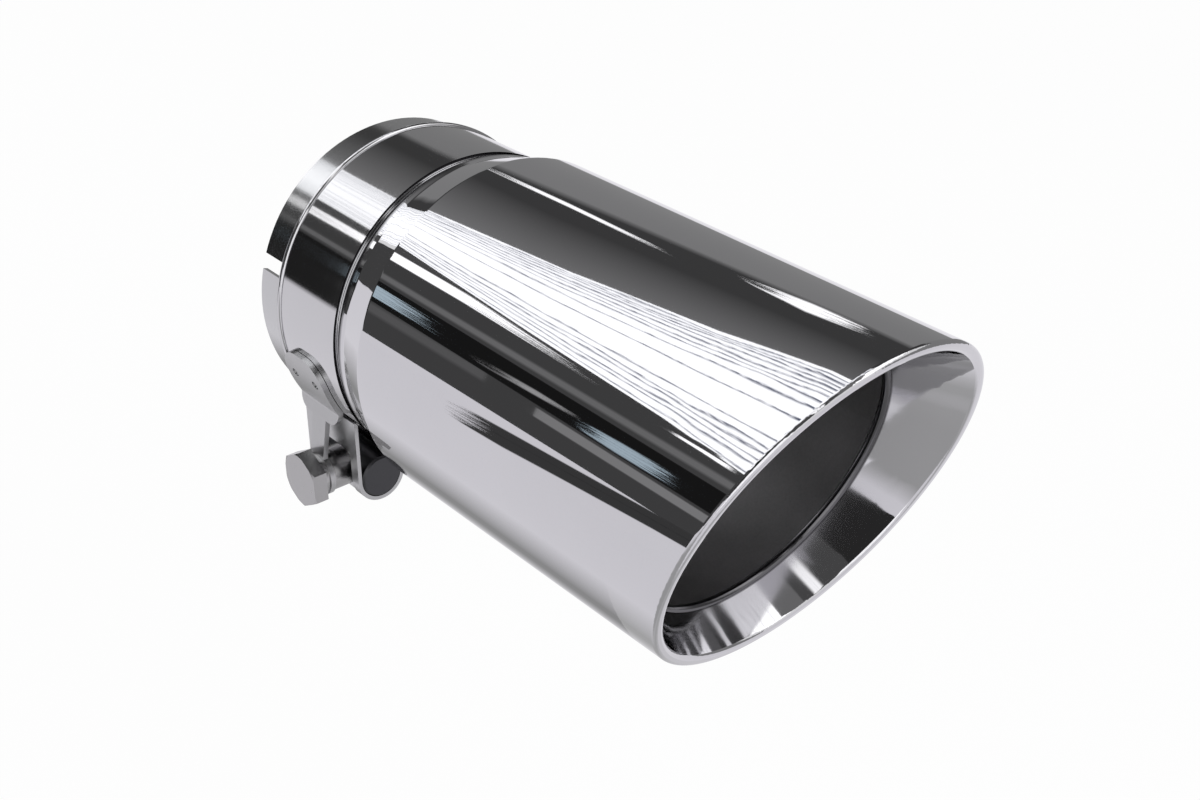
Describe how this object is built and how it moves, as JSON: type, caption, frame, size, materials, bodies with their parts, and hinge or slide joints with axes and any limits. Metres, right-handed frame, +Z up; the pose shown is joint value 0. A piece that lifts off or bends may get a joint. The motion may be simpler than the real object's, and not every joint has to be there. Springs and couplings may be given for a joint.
{
  "type": "exhaust tip",
  "caption": "Polished slash-cut exhaust tip with a rolled mouth, a slotted sleeve that slips over a tailpipe and a band clamp drawn up by a hex bolt and a trunnion nut.",
  "frame": {"origin": "centre of the inlet sleeve's open end, on the tube's axis", "axes": "+X along the tube's axis towards the slash-cut outlet; +Z up, on the long side of the slash cut"},
  "size_m": [0.2015, 0.1027, 0.1075],
  "materials": {
    "polished_shell": "mirror-polished stainless steel",
    "polished_band": "mirror-polished stainless steel",
    "inlet_steel": "polished stainless steel",
    "satin_tube": "satin stainless steel",
    "clamp_steel": "satin plated steel",
    "bolt_steel": "plated steel",
    "nut_steel": "dark plated steel"
  },
  "bodies": {
    "tip": {"outer_shell": "polished_shell", "inlet_sleeve": "inlet_steel", "clamp_band": "polished_band", "inner_tube": "satin_tube", "bolt_bracket": "clamp_steel", "nut_strap": "clamp_steel", "trunnion_nut": "nut_steel", "spacer_sleeve": "bolt_steel"},
    "bolt": {"clamp_bolt": "bolt_steel"}
  },
  "joints": [
    {"name": "bolt_turn", "type": "hinge", "parent": "tip", "child": "bolt", "pos_m": [0.0223, -0.0453, -0.04745], "axis": [0, 1, 0], "continuous": true}
  ]
}
